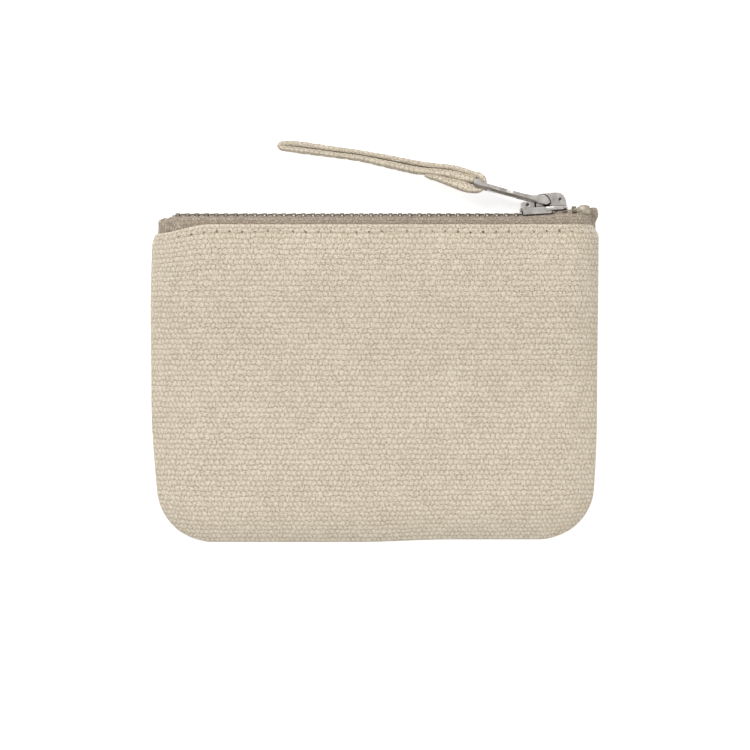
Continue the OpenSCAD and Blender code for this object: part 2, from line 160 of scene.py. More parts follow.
def front_top(x, y):
    crown = mix(BELLY_Z, ZIP_TOP_Z, smooth((y + 0.012) / (FOLD_Y + 0.012)) ** 1.2)
    return crown - 0.0009 * (x / HALF_W) ** 2 * clamp01(1 - y / 0.020)


def edge_width(y, side):
    return mix(EDGE_FRONT if side == FRONT else EDGE_ZIP, EDGE_ZIP, smooth(y / 0.030))


def end_dip(x):
    """How far the fold sinks towards the zip's left end."""
    return 0.0024 * smooth((-0.044 - x) / 0.015)


def settle(x, y, z):
    """The left side bulges, the fold dips at the left end and the bottom rises to the right."""
    bulge = 0.0007 * clamp01(-x / 0.060) * smooth((0.040 - np.abs(y - 0.005)) / 0.030)
    dip = end_dip(x) * clamp01((y - 0.025) / (FOLD_Y - 0.025))
    lift = 0.0007 * smooth((x + 0.005) / 0.025) * clamp01((-0.020 - y) / 0.025)
    return np.stack(np.broadcast_arrays(x - bulge, y - dip + lift, z), axis=-1)


def round_corners(points):
    """The canvas draws in at both top corners."""
    x, y = points[..., 0], points[..., 1]
    below = FOLD_Y - end_dip(x) - y
    draw_in = np.where(x > 0, 0.0013, 0.0007) * smooth(1 - below / 0.0032)
    points[..., 0] -= np.sign(x) * draw_in * smooth((np.abs(x) - 0.052) / 0.008)
    return points


def softness(x, y):
    """Slow hills and hollows of cloth that lies loosely, at most about 0.3 mm."""
    hills = (np.sin(x * 96 + 0.7) * np.cos(y * 120 + 0.4) + 0.6 * np.sin(x * 190 - y * 150 + 2.1)
             + 0.5 * np.cos(x * 61 + y * 240 + 1.3))
    return 0.00013 * hills


def stitch_line(x):
    """The row of stitches wanders a little."""
    return FOLD_Y - STITCH_DROP + sum(size * np.sin(rate * x) for size, rate in STITCH_WAVES)


def stitch_dent(x, y):
    """The row of stitches pulls the canvas down along its line, most at each needle hole."""
    across = (y - stitch_line(x)) / 0.0007
    phase = math.pi * (x - FIRST_STITCH_X) / STITCH_PITCH
    return -np.exp(-across * across) * (0.00008 + 0.00018 * np.cos(phase) ** 8)


def shell_point(x, y, depth, side):
    """A point of a panel, a depth below its outer surface."""
    rim = seam_height(y) + side * FIT_GAP
    face = front_top(x, y) - depth if side == FRONT else depth + 0 * x
    edge = edge_distance(x, y, depth)
    rise = round_edge(edge / (edge_width(y, side) - depth))
    relief = side * (softness(x, y) * smooth(edge / 0.008) * (side == FRONT) + stitch_dent(x, y))
    return settle(x, y, mix(rim, face, rise) + relief * rise)


# ---- meshes ----
def run_along(path):
    """Distance along a path up to each of its points."""
    return np.concatenate([[0], np.cumsum(np.linalg.norm(np.diff(path, axis=0), axis=1))])


def mesh_object(name, verts, faces, uvs, material):
    """A smooth mesh; uvs holds one pair for each corner of each face, in metres."""
    mesh = bpy.data.meshes.new(name)
    mesh.from_pydata(np.asarray(verts).tolist(), [], faces)
    layer = mesh.uv_layers.new(name="cloth")
    layer.data.foreach_set("uv", np.asarray(uvs, np.float32).ravel())
    bm = bmesh.new()
    bm.from_mesh(mesh)
    bmesh.ops.recalc_face_normals(bm, faces=bm.faces)
    bm.to_mesh(mesh)
    bm.free()
    mesh.shade_smooth()
    mesh.materials.append(material)
    return link_object(name, mesh)


class Solid:
    """Collects lofted solids into one mesh."""

    def __init__(self):
        self.verts, self.faces, self.uvs, self.count = [], [], [], 0

    def loft(self, sections, uvs):
        """Joins closed sections [place, corner, xyz]; uvs has one more corner, to close the loop."""
        places, corners = sections.shape[:2]
        start = self.count
        self.verts.append(sections.reshape(-1, 3))
        self.count += places * corners

        def add(quad, quad_uvs):
            self.faces.append(quad)
            self.uvs.append(quad_uvs)

        for j in range(places - 1):
            for k in range(corners):
                a, b = start + j * corners, start + (j + 1) * corners
                n = (k + 1) % corners
                add((a + k, a + n, b + n, b + k),
                    (uvs[j, k], uvs[j, k + 1], uvs[j + 1, k + 1], uvs[j + 1, k]))
        for j in (0, places - 1):
            a = start + j * corners
            for k in range(corners // 2 - 1):
                m = corners - 1 - k
                add((a + k, a + k + 1, a + m - 1, a + m),
                    (uvs[j, k], uvs[j, k + 1], uvs[j, m - 1], uvs[j, m]))

    def tube(self, path, radius, sides=8):
        """A round thread along a path, with blunt ends."""
        path = np.asarray(path, float)
        along = np.gradient(path, axis=0)
        along /= np.linalg.norm(along, axis=1)[:, None]
        lean = np.where(np.abs(along[:, 2:3]) > 0.9, [[0.0, 1.0, 0.0]], [[0.0, 0.0, 1.0]])
        across = np.cross(along, lean)
        across /= np.linalg.norm(across, axis=1)[:, None]
        up = np.cross(across, along)
        angle = np.linspace(0, 2 * math.pi, sides, endpoint=False)
        c, s = np.cos(angle)[None, :, None], np.sin(angle)[None, :, None]
        ring = c * across[:, None] + s * up[:, None]
        turn = np.linspace(0, 2 * math.pi * radius, sides + 1)
        self.loft(path[:, None] + radius * ring, grid_uv(run_along(path), turn))

    def build(self, name, material):
        return mesh_object(name, np.concatenate(self.verts), self.faces, self.uvs, material)


def grid_uv(run, turn):
    u, v = np.meshgrid(run, turn, indexing="ij")
    return np.stack([u, v], axis=-1)


def halves(obj):
    """Cuts a mesh at x = 0 into its left and right halves, which keep the whole mesh's normals."""
    whole = obj.data
    made = []
    for name, sign in (("left", -1), ("right", 1)):
        bm = bmesh.new()
        bm.from_mesh(whole)
        kept = bm.verts.layers.float_vector.new("whole_normal")
        for v in bm.verts:
            v[kept] = v.normal
        gone = [f for f in bm.faces if f.calc_center_median().x * sign < 0]
        bmesh.ops.delete(bm, geom=gone, context="FACES")
        mesh = bpy.data.meshes.new(f"{obj.name}_{name}")
        bm.to_mesh(mesh)
        bm.free()
        normals = np.zeros(len(mesh.vertices) * 3, np.float32)
        attribute = mesh.attributes["whole_normal"]
        attribute.data.foreach_get("vector", normals)
        mesh.attributes.remove(attribute)
        mesh.materials.append(whole.materials[0])
        mesh.normals_split_custom_set_from_vertices(normals.reshape(-1, 3))
        made.append(link_object(mesh.name, mesh))
    bpy.data.objects.remove(obj)
    return made


def bow_open(pieces, slot, *nodes):
    """The front's pieces, with their placing baked into their meshes; the CAD nodes that they stand for
    are hidden.
    """
    for piece in pieces:
        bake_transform(piece)
        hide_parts(*nodes)


def left_and_right(make, source, name, middle):
    """Two pieces of one row on the front, parted at a place along the zip."""
    return [make(source, name + "_left", lambda x: x < middle),
            make(source, name + "_right", lambda x: x >= middle)]


def ride(piece, body, slot, *nodes):
    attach(piece, body)
    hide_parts(*nodes)


# ---- materials ----
FLOOR_GLOW = 0.68
TOOTH_PITCH = 0.0026
# Height of a tooth's painted highlight spot above the chain's line.
GLINT_SPOT_Y = 0.00036


def linear(r, g, b):
    """A linear colour from display values of 0 to 255."""
    def one(c):
        c /= 255
        return c / 12.92 if c <= 0.04045 else ((c + 0.055) / 1.055) ** 2.4
    return (one(r), one(g), one(b), 1.0)


class Nodes:
    """A short way to write a material's nodes."""

    def __init__(self, name, **settings):
        self.material = bpy.data.materials.new(name)
        self.material.use_nodes = True
        self.tree = self.material.node_tree
        self.shader = self.tree.nodes["Principled BSDF"]
        for key, value in settings.items():
            self.shader.inputs[key.replace("_", " ")].default_value = value

    def new(self, kind):
        return self.tree.nodes.new("ShaderNode" + kind)

    def put(self, socket, value):
        if isinstance(value, bpy.types.NodeSocket):
            self.tree.links.new(value, socket)
        else:
            socket.default_value = value

    def math(self, operation, a, b=0.0, clamp=False):
        node = self.new("Math")
        node.operation = operation
        node.use_clamp = clamp
        self.put(node.inputs[0], a)
        self.put(node.inputs[1], b)
        return node.outputs[0]

    def add(self, a, b):
        return self.math("ADD", a, b)

    def mul(self, a, b):
        return self.math("MULTIPLY", a, b)

    def swing(self, value, amount, middle=0.5):
        """How far a value is from its middle, times an amount."""
        return self.mul(self.add(value, -middle), amount)

    def line(self, value, slope, start, clamp=False):
        """A straight line's height at a value."""
        height = self.math("MULTIPLY_ADD", value, slope, clamp)
        height.node.inputs[2].default_value = start
        return height

    def reach(self, a, b):
        """The length of a vector with two parts."""
        return self.math("SQRT", self.add(self.mul(a, a), self.mul(b, b)))

    def from_whole(self, steps):
        """How far a number is from the nearest whole one."""
        return self.add(self.math("FRACT", self.add(steps, 0.5)), -0.5)

    def wave(self, turns):
        """A cosine of a number of whole turns."""
        return self.math("COSINE", self.mul(turns, 2 * math.pi))

    def uv(self):
        node = self.new("UVMap")
        node.uv_map = "cloth"
        return node.outputs[0]

    def split(self, vector):
        node = self.new("SeparateXYZ")
        self.put(node.inputs[0], vector)
        return node.outputs[0], node.outputs[1]

    def join(self, x, y):
        node = self.new("CombineXYZ")
        self.put(node.inputs[0], x)
        self.put(node.inputs[1], y)
        return node.outputs[0]

    def noise(self, vector, size, detail):
        """Noise from 0 to 1 whose blotches are about size across."""
        node = self.new("TexNoise")
        self.put(node.inputs["Vector"], vector)
        node.inputs["Scale"].default_value = 1 / size
        node.inputs["Detail"].default_value = detail
        return node.outputs[0]

    def speckle(self, vector):
        """One random value for each whole step of the vector."""
        node = self.new("TexWhiteNoise")
        node.noise_dimensions = "2D"
        self.put(node.inputs["Vector"], vector)
        return node.outputs[0]

    def ramp(self, value, *stops):
        node = self.new("ValToRGB")
        elements = node.color_ramp.elements
        while len(elements) < len(stops):
            elements.new(1.0)
        for element, (position, colour) in zip(elements, stops):
            element.position = position
            element.color = colour
        self.put(node.inputs[0], value)
        return node.outputs[0]

    def blend(self, amount, a, b, way="MIX"):
        node = self.new("Mix")
        node.data_type = "RGBA"
        node.blend_type = way
        self.put(node.inputs[0], amount)
        self.put(node.inputs[6], a)
        self.put(node.inputs[7], b)
        return node.outputs[2]

    def bump(self, height, depth):
        node = self.new("Bump")
        node.inputs["Distance"].default_value = depth
        self.put(node.inputs["Height"], height)
        return node.outputs[0]

    def finish(self, colour, normal=None, roughness=None):
        self.put(self.shader.inputs["Base Color"], colour)
        if normal is not None:
            self.put(self.shader.inputs["Normal"], normal)
        if roughness is not None:
            self.put(self.shader.inputs["Roughness"], roughness)
        return self.material


def lumps(n, uv, pitch_u, pitch_v, lean, wander):
    """A plain weave's height from 0 to 1: rows of raised lumps, each row half a step along."""
    x, y = n.split(uv)
    x = n.add(x, n.swing(n.noise(uv, 1.6 * pitch_u, 1.0), wander))
    y = n.add(y, n.swing(n.noise(n.join(y, x), 2.2 * pitch_u, 1.0), wander))
    column = n.mul(n.add(x, n.mul(y, lean)), 1 / pitch_u)
    row = n.mul(y, 1 / pitch_v)
    ribs = n.wave(row)
    beads = n.mul(n.wave(column), n.wave(n.mul(row, 0.5)))
    height = n.add(0.5, n.add(n.mul(ribs, 0.19), n.mul(beads, 0.31)))
    # Which lump a point is on, for yarns that differ a little, and how far from its middle.
    odd_row = n.mul(n.math("MODULO", n.math("ROUND", row), 2.0), 0.5)
    column = n.add(column, odd_row)
    cell = n.join(n.math("ROUND", column), n.math("ROUND", row))
    crown = 1.0
    for along in (column, row):
        away = n.from_whole(along)
        crown = n.mul(crown, n.add(1.0, n.mul(n.mul(away, away), -3.4)))
    height = n.add(n.mul(height, 0.6), n.mul(crown, 0.45))
    return height, n.speckle(cell)


def canvas_material():
    """Natural undyed canvas: staggered lumps of thick soft yarn, flecked and slightly mottled."""
    n = Nodes("natural_canvas", Roughness=0.93, Sheen_Weight=0.12, Sheen_Roughness=0.6)
    uv = n.uv()
    height, yarn = lumps(n, uv, 0.00137, 0.001416, 0.05, 0.0012)
    x, y = n.split(uv)
    fibre = n.noise(n.join(n.mul(x, 0.65), y), 0.00026, 1.5)
    # The yarn's own twisted fibres, slanting across each lump.
    slant = n.join(n.add(n.mul(x, 0.35), n.mul(y, 0.2)), n.add(y, n.mul(x, -0.3)))
    twist = n.noise(slant, 0.00013, 2.0)
    slub = n.noise(n.join(n.mul(x, 0.3), y), 0.0011, 2.0)
    # Painted light and shade of the weave's relief: the lumps' height lightens their crowns and the
    # valley mask darkens between them; yarn, slub and fibre add the cloth's own flecks.
    shade = n.add(0.62, n.swing(height, 0.5))
    painted_valley_shade = n.line(height, -1 / 0.22, 1.6, clamp=True)
    shade = n.add(shade, n.mul(painted_valley_shade, -0.34))
    for part, amount in ((yarn, 0.18), (slub, 0.2), (fibre, 3.1), (twist, 0.9)):
        shade = n.add(shade, n.swing(part, amount))
    colour = n.ramp(shade, (0.0, linear(160, 145, 121)), (0.3, linear(194, 180, 157)),
                    (0.62, linear(217, 204, 183)), (1.0, linear(238, 228, 209)))
    blotch = n.ramp(n.noise(uv, 0.014, 3.0), (0.3, (0.965, 0.96, 0.955, 1)), (0.7, (1, 1, 1, 1)))
    colour = n.blend(1.0, colour, blotch, "MULTIPLY")
    # Needle holes along the topstitch line: painted shade inside each hole, darker at some holes than
    # others.
    step = n.mul(n.add(x, -FIRST_STITCH_X), 1 / STITCH_PITCH)
    away = n.mul(n.from_whole(step), STITCH_PITCH)
    down = n.add(y, -(FOLD_Y - STITCH_DROP))
    for size, rate in STITCH_WAVES:
        down = n.add(down, n.mul(n.math("SINE", n.mul(x, rate)), -size))
    ragged = n.add(n.reach(away, down), n.swing(fibre, 0.0006))
    hole = n.line(ragged, -1 / 0.0003, 1.45, clamp=True)
    depth = n.speckle(n.join(n.math("ROUND", step), 3.0))
    hole = n.mul(hole, n.add(0.45, n.mul(depth, 0.55)))
    colour = n.blend(hole, colour, linear(92, 76, 56))
    height = n.add(height, n.mul(hole, -1.2))
    bumps = n.bump(n.add(height, n.add(n.mul(fibre, 1.2), n.mul(twist, 0.6))), 0.00018)
    return n.finish(colour, bumps)


def tape_material():
    """Woven zip tape in taupe: a fine dense weave with a faint rib along its length."""
    n = Nodes("zip_tape_weave", Roughness=0.88, Sheen_Weight=0.1, Sheen_Roughness=0.6)
    uv = n.uv()
    height, yarn = lumps(n, uv, 0.00074, 0.00066, 0.0, 0.0006)
    fibre = n.noise(uv, 0.0004, 3.0)
    # Painted light and shade of the weave's relief: the height lightens the tops of the lumps; yarn and
    # fibre add the tape's own flecks.
    shade = n.add(0.45, n.swing(height, 0.5))
    shade = n.add(shade, n.swing(yarn, 0.25))
    shade = n.add(shade, n.swing(fibre, 2.4))
    colour = n.ramp(shade, (0.0, linear(126, 114, 100)), (0.5, linear(160, 147, 131)),
                    (1.0, linear(196, 184, 167)))
    bumps = n.bump(n.add(height, fibre), 0.00007)
    return n.finish(colour, bumps)


def thread_material():
    """Two-ply sewing thread: slanting plies and a few loose fibres."""
    n = Nodes("sewing_thread", Roughness=0.8, Sheen_Weight=0.15, Sheen_Roughness=0.5)
    uv = n.uv()
    x, y = n.split(uv)
    ply = n.wave(n.add(n.mul(x, 1 / 0.0007), n.mul(y, 1 / (math.pi * THREAD_R))))
    fibre = n.noise(uv, 0.00015, 2.0)
    # Painted light and shade of the twist: the plies' wave lightens and darkens stripes across the
    # thread; the fibres add its own flecks.
    shade = n.add(n.mul(n.add(ply, 1), 0.3), n.mul(fibre, 0.6))
    colour = n.ramp(shade, (0.15, linear(176, 161, 138)), (0.75, linear(226, 214, 192)))
    return n.finish(colour, n.bump(ply, 0.00004))


def metal_material(name, tone, roughness, grain, relief, hollow_shade_reach=None, painted_glint=None):
    """Satin metal with a cast or drawn grain, darker in creases and brighter on its edges from wear;
    painted shade in its hollows and, for the teeth, painted highlight spots on the legs.
    """
    n = Nodes(name, Metallic=0.9, Roughness=roughness)
    place = n.new("TexCoord").outputs["Object"]
    mottle = n.noise(place, grain * 6, 3.0)
    fine = n.noise(place, grain, 3.0)
    dark, light = [tuple(c * f for c in tone[:3]) + (1.0,) for f in (0.7, 1.14)]
    colour = n.ramp(mottle, (0.3, dark), (0.7, light))
    geometry = n.new("NewGeometry")
    wear_and_glint = n.ramp(geometry.outputs["Pointiness"], (0.40, (0.55, 0.54, 0.53, 1)),
                  (0.5, (1, 1, 1, 1)), (0.62, (1.22, 1.22, 1.22, 1)))
    colour = n.blend(1.0, colour, wear_and_glint, "MULTIPLY")
    if hollow_shade_reach:
        # Painted shade: ambient occlusion darkens the colour in hollows, grooves and gaps between parts.
        hollow = n.new("AmbientOcclusion")
        hollow.inputs["Distance"].default_value = hollow_shade_reach
        painted_hollow_shade = n.ramp(hollow.outputs["AO"], (0.28, (0.05, 0.047, 0.044, 1)),
                      (0.56, (0.4, 0.39, 0.38, 1)), (0.84, (1, 1, 1, 1)))
        colour = n.blend(1.0, colour, painted_hollow_shade, "MULTIPLY")
    if painted_glint:
        # Each leg has a painted highlight spot; the teeth's own coordinates start at the first tooth.
        along, up = n.split(n.uv())
        away = n.mul(n.from_whole(n.mul(along, 1 / TOOTH_PITCH)), TOOTH_PITCH)
        spot = n.line(n.reach(away, n.add(up, -GLINT_SPOT_Y)), -1 / 0.00016, 2.4, clamp=True)
        attribute = n.new("Attribute")
        attribute.attribute_name = "painted_glint"
        colour = n.blend(n.mul(spot, attribute.outputs["Fac"]), colour, painted_glint)
    dull = n.line(fine, 0.16, roughness - 0.08)
    return n.finish(colour, n.bump(fine, relief), dull)


def floor_material():
    n = Nodes("pale_floor", Roughness=0.9)
    n.shader.inputs["Emission Color"].default_value = (1, 1, 1, 1)
    n.shader.inputs["Emission Strength"].default_value = FLOOR_GLOW
    return n.finish((0.62, 0.62, 0.62, 1))


CANVAS = canvas_material()
TAPE = tape_material()
THREAD = thread_material()
# The teeth's dark tone is painted shade over the chain; their glint colour paints the highlight spots on
# the leg ends.
PAINTED_TOOTH_METAL = metal_material("tooth_metal_painted_light", linear(118, 109, 97), 0.5, 0.0003, 0.00001,
                             hollow_shade_reach=0.0006, painted_glint=linear(255, 248, 235))
SLIDER_METAL = metal_material("slider_metal", linear(196, 191, 186), 0.34, 0.0003, 0.000022,
                              hollow_shade_reach=0.0008)
STOP_METAL = metal_material("stop_metal", linear(190, 182, 166), 0.6, 0.0005, 0.00006, hollow_shade_reach=0.0006)
SPRING_METAL = metal_material("spring_metal", linear(170, 170, 172), 0.3, 0.0002, 0.000005)


# ---- canvas panels ----
SEWN_D = 0.0033
# Points of a section round the fold and down the hem inside.
ROLL_POINTS, HEM_POINTS = 9, 20
# Distances in from the edge, close together where the canvas rolls down.
EDGE_STEPS = EDGE_FRONT * (1 - np.cos(np.linspace(0, math.pi / 2, 19)))


def panel_columns():
    """Places across a panel, from -1 to 1."""
    edge = 1 - EDGE_STEPS / HALF_W
    flat = np.linspace(0, edge[-1], 66, endpoint=False)
    half = np.concatenate([flat, edge[::-1]])
    return np.concatenate([-half[:0:-1], half])


def panel_profile():
    """(y, depth) round a panel's section: up the outside, over the fold, down the hem and back."""
    roll_r = HEM_T / 2
    edge = BOTTOM_Y + EDGE_STEPS
    flat = np.linspace(edge[-1], FOLD_Y - 0.0095, 74)[1:]
    hem = np.array([FOLD_Y - HEM_D - 0.0002, FOLD_Y - HEM_D])
    upper = np.linspace(FOLD_Y - HEM_D, FOLD_Y - SEWN_D, 8)[1:]
    sewn = np.linspace(FOLD_Y - SEWN_D, FOLD_Y - roll_r, 13)[1:]
    outer = np.concatenate([edge, flat, hem, upper, sewn])
    angle = np.linspace(0, math.pi, ROLL_POINTS + 2)[1:-1]
    roll = np.stack([FOLD_Y - roll_r + roll_r * np.sin(angle), roll_r * (1 - np.cos(angle))], axis=1)
    depth = np.where(outer >= FOLD_Y - HEM_D, HEM_T, CANVAS_T)
    squeeze = (FOLD_Y - BOTTOM_Y - depth) / (FOLD_Y - BOTTOM_Y)
    inner = np.stack([BOTTOM_Y + depth + (outer - BOTTOM_Y) * squeeze, depth], axis=1)
    # The hem's inner face ends level with the roll.
    inner[-1, 0] = outer[-1]
    return np.concatenate([np.stack([outer, 0 * outer], axis=1), roll, inner[::-1]]), len(outer)


def cloth_uv(x, y, side):
    """Flat cloth coordinates: the roll down to the seam is laid out straight."""
    step = 1e-5
    edge = edge_distance(x, y, 0)
    slope_x = (edge_distance(x + step, y, 0) - edge_distance(x - step, y, 0)) / (2 * step)
    slope_y = (edge_distance(x, y + step, 0) - edge_distance(x, y - step, 0)) / (2 * step)
    width = edge_width(y, side)
    drop = (BELLY_Z - SEAM_Z) if side == FRONT else SEAM_Z
    extra = (math.pi / 4 * (width + drop) * 1.08 - width) * clamp01(1 - edge / width) ** 2
    return np.stack([x - slope_x * extra, y - slope_y * extra], axis=-1)


def canvas_panel(side, name):
    columns = panel_columns()
    profile, outer_count = panel_profile()
    y, depth = profile[None, :, 0], profile[None, :, 1]
    x = columns[:, None] * half_w(y, depth)
    y, depth = np.broadcast_to(y, x.shape), np.broadcast_to(depth, x.shape)
    points = shell_point(x, y, depth, side)
    # The seam draws the edge in along its line.
    height = (points[..., 2] - seam_height(y)) / 0.0008
    pinch = SEAM_PINCH * np.exp(-height * height) * (edge_distance(x, y, 0) < 0.004)
    points[..., 0] -= np.sign(x) * pinch * smooth((np.abs(x) - half_w(y, 0) + 0.004) / 0.004)
    points[..., 1] += pinch * smooth((BOTTOM_Y + 0.004 - y) / 0.004)
    uv = cloth_uv(x, y, side)
    points = round_corners(points)
    hem = slice(outer_count + ROLL_POINTS, outer_count + ROLL_POINTS + HEM_POINTS)
    uv[:, hem, 1] = 2 * FOLD_Y - y[:, hem] + 0.0008
    solid = Solid()
    solid.loft(points, np.concatenate([uv, uv[:, :1]], axis=1))
    add_allowance(solid, side)
    return solid.build(name, CANVAS)


# ---- seam allowance, turned in along the sides and the bottom ----
ALLOWANCE_W = 0.006
ALLOWANCE_TOP = 0.027
ALLOWANCE_LIFT = FIT_GAP + 0.00012
SEAM_INSET = 0.0018
SEAM_THREAD_R = 0.00018


def allowance_point(t, inset, lift):
    """t is 0 at the middle of the bottom, 1 and 2 at the ends of a corner, 3 at the top of a side."""
    t = np.asarray(t, float)
    side_l = ALLOWANCE_TOP - BOTTOM_Y - CORNER_R
    angle = clamp01(np.abs(t) - 1) * math.pi / 2
    r = CORNER_R - inset
    y = BOTTOM_Y + CORNER_R - r * np.cos(angle) + clamp01(np.abs(t) - 2) * side_l
    x = clamp01(np.abs(t)) * (HALF_W - CORNER_R - side_taper(y)) + r * np.sin(angle)
    return settle(np.sign(t) * x, y, seam_height(y) + lift)


def seam_stops(side, corner, bottom):
    """Places all round the seam, with so many steps on a side, a corner and the bottom."""
    legs = ((-3, -2, side), (-2, -1, corner), (-1, 1, bottom), (1, 2, corner), (2, 3, side))
    return np.concatenate([np.linspace(a, b, n, endpoint=False) for a, b, n in legs] + [[3]])


def add_allowance(solid, side):
    t = seam_stops(49, 21, 70)
    low, high = side * ALLOWANCE_LIFT, side * (ALLOWANCE_LIFT + CANVAS_T)
    insets = np.linspace(SEAM_PINCH + 0.0002, ALLOWANCE_W, 8)
    loop = [(i, low) for i in insets] + [(i, high) for i in insets[::-1]]
    fray = np.sin(t * 171.0) * np.sin(t * 67.3 + 1.0) * 0.00018
    sections = np.stack([allowance_point(t, i + (i == ALLOWANCE_W) * fray, z) for i, z in loop], axis=1)
    turn = np.array([i for i, _ in loop] + [loop[0][0]])
    solid.loft(sections, grid_uv(run_along(sections[:, 0]), turn))


front_canvas = halves(canvas_panel(FRONT, "front_canvas"))
bow_open(front_canvas, "canvas", "front_panel")
ride(canvas_panel(BACK, "back_canvas"), "bag", "canvas", "back_panel")


# ---- topstitching beside the fold ----
def stitch_path(start, sink, rise):
    """One stitch from hole to hole: it comes up, lies along the canvas and goes down again."""
    t = np.linspace(0, 1, 13)
    lift = mix(-sink, rise, smooth(np.minimum(t, 1 - t) / 0.17))
    return start + t, lift


def topstitching(side, name, keep=lambda x: True):
    solid = Solid()
    for k in range(STITCH_COUNT):
        place, lift = stitch_path(k, 0.0005, -0.00003)
        x = FIRST_STITCH_X + place * STITCH_PITCH
        if not keep(x[0]):
            continue
        depth = (side == BACK) * BACK_THREAD_SINK + 0 * x
        path = round_corners(shell_point(x, stitch_line(x), depth, side))
        path[:, 2] += side * lift
        solid.tube(path, THREAD_R)
    return solid.build(name, THREAD)


bow_open(left_and_right(topstitching, FRONT, "front_topstitch", -0.001), "thread",
         "front_topstitching")
ride(topstitching(BACK, "back_topstitch"), "bag", "thread", "back_topstitching")


# ---- closing seam, inside the pouch ----
def seam_thread(side, name, keep=lambda x: True):
    solid = Solid()
    lift = side * (ALLOWANCE_LIFT + CANVAS_T + 0.00015)
    stops = seam_stops(16, 6, 26)
    for a, b in zip(stops[:-1], stops[1:]):
        path = allowance_point(np.linspace(a, b, 9), SEAM_INSET, lift)
        rise = smooth(np.minimum(np.linspace(0, 1, 9), np.linspace(1, 0, 9)) / 0.2)
        path[:, 2] += side * mix(-0.0004, 0, rise)
        if keep(path[0, 0]):
            solid.tube(path, SEAM_THREAD_R, sides=6)
    return solid.build(name, THREAD)


bow_open(left_and_right(seam_thread, FRONT, "needle_seam", -0.0001), "thread",
         "seam_needle_thread")
ride(seam_thread(BACK, "bobbin_seam"), "bag", "thread", "seam_bobbin_thread")


# ---- zip tapes and the beads along their edges ----
TAPE_T = 0.0005
TAPE_DEPTH = HEM_T + 0.00012 + TAPE_T / 2
TAPE_DROP = 0.0095
TAPE_END_X = 0.0585
BEND_R = 0.001
BEAD_R = 0.0007
BEAD_FROM, BEAD_TO = -0.0546, 0.0566
EDGE_OFFSET = 0.0012
HALF_GAP = 0.0044
TAB_X = 0.05815
TAB_TOP_Y = 0.0452
CHAIN_Y = FOLD_Y + 0.00195


def chain_line(x):
    return CHAIN_Y - 0.0022 * clamp01((-0.0549 - x) / 0.0037) + 0.0013 * smooth((x - 0.036) / 0.024)


def stands_up(x):
    """0 along the zip and 1 at its right end, where the tape no longer bends over."""
    return smooth((x - 0.0519) / 0.0032)


def bend_angle(x):
    upright = np.maximum(stands_up(x), smooth((-0.0556 - x) / 0.0024))
    return math.pi / 2 * (1 - upright)


def edge_reach(x):
    spread = 0.0016 * smooth((x - 0.047) / 0.0026)
    return (HALF_GAP + TAPE_T / 2 - BEND_R - EDGE_OFFSET - spread
            + 0.0011 * stands_up(x) - 0.0009 * smooth((-0.0538 - x) / 0.0025)
            + 0.0006 * smooth((-0.0568 - x) / 0.0017))


def edge_run(x):
    return bend_angle(x) * BEND_R + edge_reach(x)


def tape_rise(x):
    """Past the slider's throat the tapes ride up."""
    return 0.0004 * smooth((x - 0.0476) / 0.0012)


def bent_point(x, side, run, offset):
    """A point of the tape above the fold, run along it from where it starts to turn over."""
    start = shell_point(x * half_w(FOLD_Y, TAPE_DEPTH) / TAPE_END_X, FOLD_Y + 0 * x, TAPE_DEPTH, side)
    off = np.maximum(side * (start[..., 2] - CHAIN_Z), TAPE_T / 2 + FIT_GAP)
    angle = np.minimum(bend_angle(x), run / BEND_R)
    rest = np.maximum(0, run - bend_angle(x) * BEND_R)
    r = BEND_R + offset
    y = chain_line(x) + tape_rise(x) - BEND_R + r * np.sin(angle) + rest * np.cos(angle)
    z = CHAIN_Z + side * off + side * (r * np.cos(angle) - BEND_R - rest * np.sin(angle))
    return np.stack(np.broadcast_arrays(start[..., 0], y, z), axis=-1)


def tape_places():
    """Close together at both ends, where the tape stands up out of the chain."""
    return np.concatenate([np.linspace(-TAPE_END_X, -0.050, 28)[:-1],
                           np.linspace(-0.050, 0.044, 118)[:-1], np.linspace(0.044, TAPE_END_X, 36)])


def zip_tape(side, name):
    x = tape_places()[:, None]
    low_y = np.linspace(FOLD_Y - TAPE_DROP, FOLD_Y - 0.0006, 14)[None]
    share = np.linspace(0, 1, 18)[None]
    corded = smooth((x - BEAD_FROM) / 0.0008) * smooth((BEAD_TO - x) / 0.0008)
    run = share * (edge_run(x) - corded * (2 * BEAD_R - 0.0001))

    def face(offset):
        depth = TAPE_DEPTH - offset
        inner_x = x * half_w(low_y, depth) / TAPE_END_X
        lower = shell_point(inner_x, low_y + 0 * x, depth, side)
        return np.concatenate([lower, bent_point(x, side, run, offset)], axis=1)

    outer, inner = face(TAPE_T / 2), face(-TAPE_T / 2)
    turn = np.concatenate([np.broadcast_to(low_y - FOLD_Y, (len(x), 14)),
                           run + chain_line(x) - BEND_R - FOLD_Y], axis=1)
    turn = np.concatenate([turn, turn[:, ::-1], turn[:, :1]], axis=1)
    solid = Solid()
    solid.loft(np.concatenate([outer, inner[:, ::-1]], axis=1),
               np.stack([np.broadcast_to(x, turn.shape), turn], axis=-1))
    bead_x = np.linspace(BEAD_FROM, BEAD_TO, 240)
    solid.tube(bent_point(bead_x, side, edge_run(bead_x) - BEAD_R, 0), BEAD_R, sides=12)
    if side == BACK:
        add_end_tab(solid)
    return solid.build(name, TAPE)


